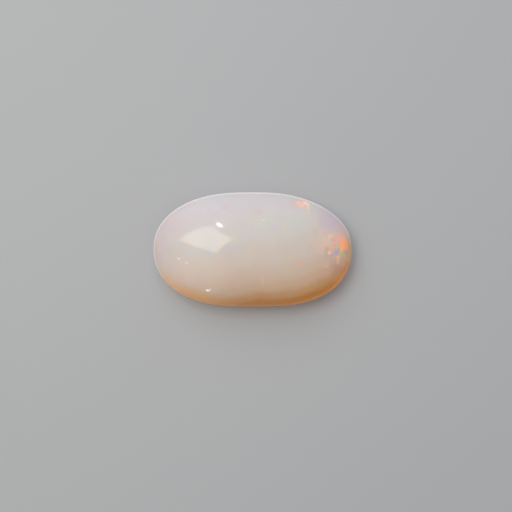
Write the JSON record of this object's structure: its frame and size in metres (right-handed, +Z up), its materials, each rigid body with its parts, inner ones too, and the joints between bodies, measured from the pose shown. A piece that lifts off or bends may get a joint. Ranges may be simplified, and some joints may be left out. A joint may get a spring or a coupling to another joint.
{
  "type": "polished opal cabochon",
  "caption": "Polished white opal: an oval double cabochon with a high crown and a low back, lying on the small flat in the middle of its back.",
  "frame": {"origin": "on the flat that the stone rests on, below the middle of the stone's box", "axes": "+X along the stone's length, +Y across it towards its white side and away from its amber side, +Z up through the crown"},
  "size_m": [0.02, 0.0116, 0.0051],
  "materials": {
    "opal": "polished to a glassy gloss, milky white shading to amber along one long side, with small patches of play-of-colour"
  },
  "bodies": {
    "root": {"opal": "opal"}
  },
  "joints": []
}
